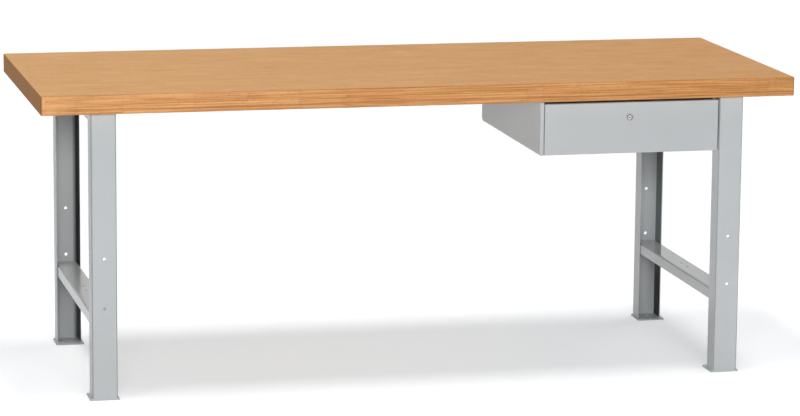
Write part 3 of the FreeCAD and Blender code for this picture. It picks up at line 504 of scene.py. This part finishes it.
# Bolts, washers and inserts
# M8 hexagon bolts go up through the top rails, with a washer each, into threaded steel sleeves let into
# the board. They are cold formed, the heads chamfered, and zinc plated.
bolt_reach = 275.5 * MM         # from the middle of a rail to its outermost bolts
bolt_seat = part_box("frame_washers")[0].z
head_flats = 13 * MM
head_height = 5.3 * MM
chamfer_radius = 0.46 * head_flats
chamfer_slope = math.tan(math.radians(60))

# Bright zinc plate: thin electroplated zinc on steel, a soft grey mirror with a cloudy, faintly blue bloom.
zinc_grey = linear("C9CCCC")
zinc_blue = linear("B4BCC4")
zinc_bloom_size = 12 * MM
zinc_grain_size = 0.8 * MM
zinc_plate, tree = new_material("bright_zinc_plate")
place = add(tree, "TexCoord").outputs["Object"]
bloom = add(tree, "TexNoise", {"Vector": place, "Scale": 1 / zinc_bloom_size, "Detail": 3.0})
bloom_share = add(tree, "MapRange", {"Value": bloom, **noise_spread})
colour = add(tree, "Mix", {"Factor_Float": bloom_share, "A_Color": zinc_grey, "B_Color": zinc_blue},
             data_type="RGBA")
gloss = add(tree, "MapRange", {"Value": bloom, **noise_spread, "To Min": 0.28, "To Max": 0.42})
grain = add(tree, "TexNoise", {"Vector": place, "Scale": 1 / zinc_grain_size, "Detail": 2.0})
bump = add(tree, "Bump", {"Height": grain, "Strength": 0.1, "Distance": 0.05 * MM})
shader = add(tree, "BsdfPrincipled", {"Base Color": colour, "Roughness": gloss, "Normal": bump,
                                      "Metallic": 1.0})
add(tree, "OutputMaterial", {"Surface": shader})


def add_thread(diameter, root, pitch, length):
    """A shank up from the origin, drawn out ring by ring from crest to root and back. Edit mode."""
    bpy.ops.mesh.select_all(action="DESELECT")
    bpy.ops.mesh.primitive_circle_add(vertices=16, radius=diameter / 2, fill_type="NGON", location=(0, 0, 0))
    height = 0.0
    for turn in range(round(length / pitch)):
        for ratio in (root / diameter, diameter / root):
            height += pitch / 2
            bpy.ops.mesh.extrude_region_move(TRANSFORM_OT_translate={"value": (0, 0, pitch / 2)})
            bpy.ops.transform.resize(value=(ratio, ratio, 1), center_override=(0, 0, height))


def cut_with(piece, cutter, operation):
    """Cut one mesh with another, and take the cutter away."""
    bpy.context.view_layer.objects.active = piece
    cut = piece.modifiers.new("cut", "BOOLEAN")
    cut.object = cutter
    cut.operation = operation
    bpy.ops.object.modifier_apply(modifier="cut")
    bpy.data.objects.remove(cutter)


def set_copies(piece, places, turn, name):
    """Set a copy of a finished piece at each place, turned the same way, and join them."""
    copies = []
    for at in places:
        copy = piece.copy()
        copy.data = piece.data.copy()
        copy.data.transform(Matrix.Translation(at) @ turn)
        bpy.context.scene.collection.objects.link(copy)
        copies.append(copy)
    bpy.data.objects.remove(piece)
    return join_pieces(copies, name)


bpy.ops.object.select_all(action="DESELECT")
bpy.ops.mesh.primitive_cylinder_add(vertices=6, radius=head_flats / math.sqrt(3), depth=head_height,
                                    location=(0, 0, -head_height / 2))
bpy.ops.object.transform_apply(location=True, rotation=True, scale=True)
bolt = bpy.context.object
bpy.ops.mesh.primitive_cone_add(vertices=48, radius1=chamfer_radius,
                                radius2=chamfer_radius + chamfer_slope * head_height, depth=head_height,
                                location=(0, 0, -head_height / 2))
cut_with(bolt, bpy.context.object, "INTERSECT")
bpy.ops.object.select_all(action="DESELECT")
bolt.select_set(True)
bpy.ops.object.mode_set(mode="EDIT")
add_thread(diameter=8 * MM, root=6.6 * MM, pitch=1.25 * MM, length=28.1 * MM)
bpy.ops.object.mode_set(mode="OBJECT")
bolt_places = [Vector((side * leg_middle, share * bolt_reach, bolt_seat))
               for side in (-1, 1) for share in (-1, -1 / 3, 1 / 3, 1)]
bolts = set_copies(bolt, bolt_places, Matrix.Identity(4), "threaded_frame_bolts")
bolts.data.materials.append(zinc_plate)
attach(bolts, "frame")
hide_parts("frame_bolts")
dress(zinc_plate, "frame_washers", "worktop_inserts")

# Drawer casing
# Two folded side walls, a back wall and an angle in front, screwed up into the board. The walls are
# painted with the legs, the angle is drawn near black as a painted shade, and the wood screws are
# zinc plated.
casing_sheet = 1.2 * MM
casing_flange = 26 * MM
lock_rail_sheet = 1.5 * MM
screw_margin = 60 * MM          # from the end of a folded edge to its first screw
dome_rings = 6
recess_depth = 0.6              # of a cross recess, as a share of the head's height
punch_wide = 0.42               # the two ends of the punch that makes it, as shares of the head's width
punch_narrow = 0.2
recess_slot = 0.22              # an arm's width, as a share of its length
tip_width = 0.15                # a wood screw's point, as a share of its shank
dress(grey_paint, "casing_side_left", "casing_side_right", "casing_back",
      "runner_bracket_left", "runner_bracket_right")


def pan_head_screw(head, head_height, diameter, root, pitch, thread, tip):
    """A screw with a domed head and cross recess below the origin, and its threaded shank above it."""
    bpy.ops.object.select_all(action="DESELECT")
    bpy.ops.mesh.primitive_circle_add(vertices=24, radius=head / 2, fill_type="NGON", location=(0, 0, 0))
    screw = bpy.context.object
    ball = (head ** 2 / 4 + head_height ** 2) / (2 * head_height)
    radius = head / 2
    depth = 0.0
    bpy.ops.object.mode_set(mode="EDIT")
    for ring in range(1, dome_rings + 1):
        next_depth = head_height * math.sin(math.pi / 2 * ring / (dome_rings + 1))
        next_radius = math.sqrt(ball ** 2 - (next_depth + ball - head_height) ** 2)
        ratio = next_radius / radius
        bpy.ops.mesh.extrude_region_move(TRANSFORM_OT_translate={"value": (0, 0, depth - next_depth)})
        bpy.ops.transform.resize(value=(ratio, ratio, 1), center_override=(0, 0, -next_depth))
        radius = next_radius
        depth = next_depth
    bpy.ops.mesh.select_all(action="SELECT")
    bpy.ops.mesh.normals_make_consistent(inside=False)
    bpy.ops.object.mode_set(mode="OBJECT")
    for arm in ((1.0, recess_slot, 1.0), (recess_slot, 1.0, 1.0)):
        bpy.ops.mesh.primitive_cone_add(vertices=4, radius1=punch_wide * head, radius2=punch_narrow * head,
                                        depth=2 * recess_depth * head_height, location=(0, 0, -head_height),
                                        rotation=(0, 0, math.pi / 4))
        bpy.ops.object.transform_apply(location=True, rotation=True, scale=True)
        cutter = bpy.context.object
        bpy.ops.object.mode_set(mode="EDIT")
        bpy.ops.transform.resize(value=arm, center_override=(0, 0, 0))
        bpy.ops.object.mode_set(mode="OBJECT")
        cut_with(screw, cutter, "DIFFERENCE")
    bpy.ops.object.select_all(action="DESELECT")
    screw.select_set(True)
    bpy.ops.object.mode_set(mode="EDIT")
    add_thread(diameter, root, pitch, thread)
    if tip:
        bpy.ops.mesh.extrude_region_move(TRANSFORM_OT_translate={"value": (0, 0, tip)})
        bpy.ops.transform.resize(value=(tip_width, tip_width, 1), center_override=(0, 0, thread + tip))
    bpy.ops.object.mode_set(mode="OBJECT")
    return screw


side_low, side_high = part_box("casing_side_left")
rail_low, rail_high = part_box("lock_rail")
back_low, back_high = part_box("casing_back")
casing_middle = (back_low.x + back_high.x) / 2
side_reach = casing_middle - side_low.x - casing_sheet - casing_flange / 2
cross_reach = rail_high.x - casing_middle - screw_margin
first_screw = rail_high.y + screw_margin
last_screw = side_high.y - screw_margin
back_row = back_high.y - casing_sheet - casing_flange / 2
rail_row = (rail_low.y + rail_high.y) / 2
wall_seat = underside - casing_sheet
rail_seat = underside - lock_rail_sheet
screw_places = [Vector((casing_middle + side * side_reach, y, wall_seat))
                for side in (-1, 1) for y in (first_screw, (first_screw + last_screw) / 2, last_screw)]
screw_places += [Vector((casing_middle + side * cross_reach, back_row, wall_seat)) for side in (-1, 0, 1)]
screw_places += [Vector((casing_middle + side * cross_reach, rail_row, rail_seat)) for side in (-1, 0, 1)]
wood_screw = pan_head_screw(head=9 * MM, head_height=2.8 * MM, diameter=4.5 * MM, root=3.1 * MM,
                            pitch=2 * MM, thread=20 * MM, tip=3 * MM)
wood_screws = set_copies(wood_screw, screw_places, Matrix.Identity(4), "cross_recessed_casing_screws")
wood_screws.data.materials.append(zinc_plate)
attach(wood_screws, "frame")
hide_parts("casing_screws")

# The lock rail is drawn near black with a faint mottle and bump, a painted shade that makes the gap
# above the drawer front read dark.
gap_shade_dark = linear("0B0A0A")
gap_shade_light = linear("161514")
fine_mottle_size = 1.5 * MM
broad_mottle_size = 60 * MM
phosphate, tree = new_material("phosphated_steel")
place = add(tree, "TexCoord").outputs["Object"]
fine_mottle = add(tree, "TexNoise", {"Vector": place, "Scale": 1 / fine_mottle_size, "Detail": 3.0})
broad_mottle = add(tree, "TexNoise", {"Vector": place, "Scale": 1 / broad_mottle_size, "Detail": 2.0})
mottle = add(tree, "Math", {"Value": fine_mottle, "Value_001": broad_mottle}, operation="MULTIPLY")
mottle = add(tree, "MapRange", {"Value": mottle, "From Min": 0.15, "From Max": 0.4})
colour = add(tree, "Mix", {"Factor_Float": mottle, "A_Color": gap_shade_dark, "B_Color": gap_shade_light},
             data_type="RGBA")
gloss = add(tree, "MapRange", {"Value": broad_mottle, **noise_spread, "To Min": 0.6, "To Max": 0.75})
bump = add(tree, "Bump", {"Height": fine_mottle, "Strength": 0.15, "Distance": 0.1 * MM})
shader = add(tree, "BsdfPrincipled", {"Base Color": colour, "Roughness": gloss, "Normal": bump,
                                      "Specular IOR Level": 0.2})
add(tree, "OutputMaterial", {"Surface": shader})
# The lock rail is drawn near black, a painted shade for the gap above the drawer front
dress(phosphate, "lock_rail")

# Ball runners
# Three nested rails on each side, rolled from zinc-plated strip, run on two rows of hard steel balls that
# thin pressed cages keep apart. Rivets hold the outer rail to its bracket and the inner one to the drawer.
runner_strip = [name for name in nodes
                if name.startswith("runner_") and ("_rail_" in name or "_cage_" in name)]
dress(zinc_plate, *runner_strip, "cabinet_rail_rivets", "drawer_rail_rivets")

# Polished bearing steel: hardened balls with a clear mirror finish and a few fine scuffs.
steel_colour = linear("C4C6C8")
scuff_size = 1 * MM
bright_steel, tree = new_material("polished_bearing_steel")
place = add(tree, "TexCoord").outputs["Object"]
scuff = add(tree, "TexNoise", {"Vector": place, "Scale": 1 / scuff_size, "Detail": 4.0})
gloss = add(tree, "MapRange", {"Value": scuff, "From Min": 0.4, "From Max": 0.7,
                               "To Min": 0.08, "To Max": 0.22})
shade = add(tree, "MapRange", {"Value": scuff, **noise_spread, "To Min": 0.95})
colour = add(tree, "VectorMath", {"Vector": steel_colour[:3], "Scale": shade}, operation="SCALE")
shader = add(tree, "BsdfPrincipled", {"Base Color": colour, "Roughness": gloss, "Metallic": 1.0})
add(tree, "OutputMaterial", {"Surface": shader})
dress(bright_steel, *[name for name in nodes if "_balls_" in name])

# Drawer
# A folded tray with a front and a back wall spot-welded in, and a front panel folded to a shallow pan,
# screwed on from inside. All of it is painted with the casing.
tray_sheet = 1 * MM
tray_bend = 2 * MM
wall_flange = 14 * MM
tray_low, tray_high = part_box("drawer_tray")
wall_low, wall_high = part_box("tray_back_wall")
tray_middle = (wall_low.x + wall_high.x) / 2
wall_reach = (wall_high.x - wall_low.x) / 2
wall_inside = wall_high.y - tray_sheet
tray_floor = tray_low.z + tray_sheet
dress(grey_paint, "drawer_front", "drawer_tray", "tray_front_wall", "tray_back_wall")
dress(zinc_plate, "panel_nuts")

# Feet of the tray's end walls
# Each end wall's 1 mm sheet turns in along its lower edge, to a painted foot that lies on the tray's floor
# between the folds and is spot-welded to it.
foot_reach = wall_reach - tray_bend
foot_depth = wall_flange + tray_sheet
foot_top = tray_floor + tray_sheet
foot_bend = 0.9 * MM
near = 0.1 * MM                 # an edge this close to a place is the one there


def select_faces(piece, wanted):
    """In edit mode, select only the faces whose centre and normal are as wanted."""
    bpy.ops.mesh.select_all(action="DESELECT")
    bpy.ops.object.mode_set(mode="OBJECT")
    for face in piece.data.polygons:
        face.select = wanted(face.center, face.normal)
    bpy.ops.object.mode_set(mode="EDIT")


def select_edges(piece, wanted):
    """In edit mode, select only the edges whose middle is as wanted."""
    bpy.ops.mesh.select_all(action="DESELECT")
    bpy.ops.object.mode_set(mode="OBJECT")
    for edge in piece.data.edges:
        start, end = [piece.data.vertices[corner].co for corner in edge.vertices]
        edge.select = wanted((start + end) / 2)
    bpy.ops.object.mode_set(mode="EDIT")


def is_heel(middle):
    """Whether an edge is the long lower one at the outside, where the sheet is bent."""
    lowest = middle.z < tray_floor + near
    outermost = middle.y > wall_high.y - near
    return lowest and outermost and abs(middle.x - tray_middle) < near


bpy.ops.object.select_all(action="DESELECT")
bpy.ops.mesh.primitive_cube_add(size=1, scale=(2 * foot_reach, foot_depth, tray_sheet),
                                location=(tray_middle, wall_high.y - foot_depth / 2,
                                          tray_floor + tray_sheet / 2))
bpy.ops.object.transform_apply(location=True, rotation=True, scale=True)
back_foot = bpy.context.object
bpy.ops.object.mode_set(mode="EDIT")
bpy.ops.mesh.bisect(plane_co=(0, wall_inside, 0), plane_no=(0, 1, 0))
select_faces(back_foot, lambda centre, normal: normal.z > 0.5 and centre.y > wall_inside)
bpy.ops.mesh.extrude_region_move(TRANSFORM_OT_translate={"value": (0, 0, wall_low.z - foot_top)})
bpy.ops.mesh.select_mode(type="EDGE")
select_edges(back_foot, is_heel)
bpy.ops.mesh.bevel(offset=foot_bend, segments=4)
bpy.ops.mesh.select_mode(type="VERT")
bpy.ops.object.mode_set(mode="OBJECT")
to_front = Matrix.Translation((0, tray_low.y + tray_high.y, 0)) @ Matrix.Scale(-1, 4, (0, 1, 0))
front_foot = back_foot.copy()
front_foot.data = back_foot.data.copy()
bpy.context.scene.collection.objects.link(front_foot)
front_foot.data.transform(to_front)
front_foot.data.flip_normals()
tray_feet = join_pieces([back_foot, front_foot], "tray_wall_feet")
tray_feet.data.materials.append(grey_paint)
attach(tray_feet, "drawer")

# Spot welds
# The end walls are spot-welded to the tray through their feet and side flanges. The electrode leaves a
# round dimple with a low rim, which the paint covers.
spot_radius = 3.2 * MM
spot_rim = 0.25 * MM
spot_steps = ((spot_rim, 0.88), (0, 0.9), (-0.8 * spot_rim, 0.8))       # rise and narrowing of each ring
flange_inset = 0.65 * wall_flange
foot_shares = (-0.8, -0.4, 0, 0.4, 0.8)         # places along a foot, from its middle to its end
flange_shares = (0.2, 0.5, 0.8)                 # and up a flange


def spot_weld():
    """A dimple with a low rim, facing up from the origin."""
    bpy.ops.object.select_all(action="DESELECT")
    bpy.ops.mesh.primitive_circle_add(vertices=20, radius=spot_radius, fill_type="NGON", location=(0, 0, 0))
    bpy.ops.object.mode_set(mode="EDIT")
    for rise, ratio in spot_steps:
        bpy.ops.mesh.extrude_region_move(TRANSFORM_OT_translate={"value": (0, 0, rise)})
        bpy.ops.transform.resize(value=(ratio, ratio, 1), center_override=(0, 0, 0))
    bpy.ops.mesh.select_all(action="SELECT")
    bpy.ops.mesh.normals_make_consistent(inside=False)
    bpy.ops.object.mode_set(mode="OBJECT")
    return bpy.context.object


foot_ys = (wall_inside - wall_flange / 2, tray_low.y + tray_sheet + wall_flange / 2)
foot_spots = [Vector((tray_middle + share * foot_reach, y, foot_top))
              for share in foot_shares for y in foot_ys]
spots = [set_copies(spot_weld(), foot_spots, Matrix.Identity(4), "foot_spots")]
flange_ys = (wall_high.y - flange_inset, tray_low.y + flange_inset)
flange_zs = [wall_low.z + share * (wall_high.z - wall_low.z) for share in flange_shares]
for side in (-1, 1):
    flange_face = tray_middle + side * (wall_reach - tray_sheet)
    flange_spots = [Vector((flange_face, y, z)) for y in flange_ys for z in flange_zs]
    inward_turn = Matrix.Rotation(-side * math.pi / 2, 4, "Y")
    spots.append(set_copies(spot_weld(), flange_spots, inward_turn, "flange_spots"))
spot_welds = join_pieces(spots, "tray_spot_welds")
spot_welds.data.materials.append(grey_paint)
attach(spot_welds, "drawer")

# Panel screws
# Four zinc-plated M5 screws with pan heads. They go from inside the tray through its front wall, into nuts
# that are welded to the front panel.
panel_screw_side = 50 * MM      # from the tray's sides
panel_screw_edge = 24 * MM      # from its floor and its upper edge
panel_screw_reach = wall_reach + tray_sheet - panel_screw_side
panel_screw_zs = (tray_low.z + panel_screw_edge, tray_high.z - panel_screw_edge)
panel_screw_places = [Vector((tray_middle + side * panel_screw_reach, tray_low.y + tray_sheet, z))
                      for side in (-1, 1) for z in panel_screw_zs]
point_forward = Matrix.Rotation(math.pi / 2, 4, "X")
panel_screw = pan_head_screw(head=9.5 * MM, head_height=3 * MM, diameter=5 * MM, root=4.1 * MM,
                             pitch=0.8 * MM, thread=6.4 * MM, tip=0)
panel_screws = set_copies(panel_screw, panel_screw_places, point_forward, "cross_recessed_panel_screws")
panel_screws.data.materials.append(zinc_plate)
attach(panel_screws, "drawer")
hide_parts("panel_screws")

# Cam lock
# A turned barrel through the drawer front, with a nut behind, a plug that the key turns, and a cam on the
# plug's tail. Barrel and plug are nickel plated; the groove and the key slot are drawn near black, a
# painted shade.
plug_low, plug_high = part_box("lock_plug")
cam_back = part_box("lock_cam")[1].y
cam_seat = Vector(((plug_low.x + plug_high.x) / 2, cam_back, (plug_low.z + plug_high.z) / 2))

# Satin nickel plate: warm grey metal, lightly brushed in turning.
nickel_colour = linear("C4C2BE")
groove_shade_colour = linear("141312")
groove_shade_reach = 3 * MM
turning_size = 1.2 * MM
nickel_plate, tree = new_material("satin_nickel_plate")
place = add(tree, "TexCoord").outputs["Object"]
turned = add(tree, "TexNoise", {"Vector": place, "Scale": 1 / turning_size, "Detail": 3.0})
shade = add(tree, "MapRange", {"Value": turned, **noise_spread, "To Min": 0.9})
metal = add(tree, "VectorMath", {"Vector": nickel_colour[:3], "Scale": shade}, operation="SCALE")
# The groove and key slot are drawn near black where walls stand close round them, a painted shade
hidden = add(tree, "AmbientOcclusion", {"Distance": groove_shade_reach}, samples=8)
groove_shade = add(tree, "MapRange", {"Value": hidden.outputs["AO"], "From Min": 0.98, "From Max": 0.7})
colour = add(tree, "Mix", {"Factor_Float": groove_shade, "A_Color": metal, "B_Color": groove_shade_colour},
             data_type="RGBA")
gloss = add(tree, "MapRange", {"Value": turned, **noise_spread, "To Min": 0.2, "To Max": 0.32})
shader = add(tree, "BsdfPrincipled", {"Base Color": colour, "Roughness": gloss, "Metallic": 1.0})
add(tree, "OutputMaterial", {"Surface": shader})
dress(nickel_plate, "lock_housing", "lock_plug")
dress(zinc_plate, "lock_cam", "lock_nut")
cam_screw = pan_head_screw(head=9.5 * MM, head_height=2.4 * MM, diameter=4 * MM, root=3.2 * MM,
                           pitch=0.7 * MM, thread=7.7 * MM, tip=0)
cam_screw = set_copies(cam_screw, [cam_seat], point_forward, "cross_recessed_cam_screw")
cam_screw.data.materials.append(zinc_plate)
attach(cam_screw, "lock_cylinder")
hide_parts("cam_screw")

# Floor
# A plain white studio floor. The camera sees it a little lighter than it is, so that it runs out to white
# and still holds the shadow under the bench.
floor_size = 80.0
floor_colour = linear("E7E7E7")
seen_floor_colour = linear("F3F3F3")
floor_glow_colour = linear("F7FBFF")
floor_glow = 0.47


def seen_share(tree):
    """1 where the camera sees a surface, straight or in gloss and glass, and 0 for the light it gives."""
    path = add(tree, "LightPath").outputs
    seen = add(tree, "Math", {"Value": path["Is Camera Ray"], "Value_001": path["Is Glossy Ray"]},
               operation="MAXIMUM")
    return add(tree, "Math", {"Value": seen, "Value_001": path["Is Transmission Ray"]}, operation="MAXIMUM")


bpy.ops.object.select_all(action="DESELECT")
bpy.ops.mesh.primitive_plane_add(size=floor_size, location=(0, 0, 0))
floor = bpy.context.object
floor.name = "floor"
white_floor, tree = new_material("white_floor")
lit = add(tree, "BsdfDiffuse", {"Color": seen_floor_colour})
glow = add(tree, "Emission", {"Color": floor_glow_colour, "Strength": floor_glow})
shown = add(tree, "AddShader", {"Shader": lit, "Shader_001": glow})
plain = add(tree, "BsdfDiffuse", {"Color": floor_colour})
surface = add(tree, "MixShader", {"Fac": seen_share(tree), "Shader": plain, "Shader_001": shown})
add(tree, "OutputMaterial", {"Surface": surface})
floor.data.materials.append(white_floor)

# Light
# Soft studio light: a softbox in front, two rows of strips overhead that throw the shadow straight down,
# a weak lamp behind on the right, and a dim room.
strip_leans = (-16, 7)          # degrees from upright, to the right
strip_tilts = (-10, -3, 4)      # and to the rear
strip_strength = 0.29
strip_spread = 10
rear_strength = 0.8
rear_spread = 40
rear_towards = (0.82, 0.57, 0.18)
softbox_place = Vector((-0.9, -7.0, 2.3))
softbox_target = Vector((0, 0, 0.5))
softbox_size = (4.2, 1.2)
softbox_watts = 255
room_strength = 0.05
white = linear("FFFFFF")
scene = bpy.context.scene
scene.world = bpy.data.worlds.new("pale_room")
scene.world.use_nodes = True
tree = scene.world.node_tree
tree.nodes.clear()
room = add(tree, "Background", {"Color": white, "Strength": room_strength})
backdrop = add(tree, "Background", {"Color": white, "Strength": 1.0})
surface = add(tree, "MixShader", {"Fac": seen_share(tree), "Shader": room, "Shader_001": backdrop})
add(tree, "OutputWorld", {"Surface": surface})


def add_lamp(name, kind, strength, towards):
    """A lamp that shines from one direction."""
    lamp = bpy.data.objects.new(name, bpy.data.lights.new(name, kind))
    scene.collection.objects.link(lamp)
    lamp.data.energy = strength
    lamp.rotation_mode = "QUATERNION"
    lamp.rotation_quaternion = Vector(towards).to_track_quat("Z", "Y")
    return lamp


for lean in strip_leans:
    for tilt in strip_tilts:
        towards = (math.tan(math.radians(lean)), math.tan(math.radians(tilt)), 1)
        strip = add_lamp("overhead_strip", "SUN", strip_strength, towards)
        strip.data.angle = math.radians(strip_spread)
rear = add_lamp("right_and_behind", "SUN", rear_strength, rear_towards)
rear.data.angle = math.radians(rear_spread)
front = add_lamp("front", "AREA", softbox_watts, softbox_place - softbox_target)
front.location = softbox_place
front.data.shape = "RECTANGLE"
front.data.size, front.data.size_y = softbox_size

# Camera
# A long lens at the photograph's height and angle, turned a little about its own axis as the photograph is.
camera_place = (-2.07512, -8.89084, 2.09538)
camera_pitch = math.radians(10.465)
camera_yaw = math.radians(13.288)
camera_roll = math.radians(0.495)
camera = bpy.data.objects.new("camera", bpy.data.cameras.new("camera"))
scene.collection.objects.link(camera)
scene.camera = camera
camera.data.sensor_width = 36.0
camera.data.lens = 154.14
camera.data.clip_end = 100.0
camera.location = camera_place
camera.rotation_mode = "QUATERNION"
camera.rotation_quaternion = (Euler((math.pi / 2 - camera_pitch, 0, -camera_yaw)).to_quaternion()
                              @ Quaternion((0, 0, 1), camera_roll))
scene.view_settings.view_transform = "Standard"
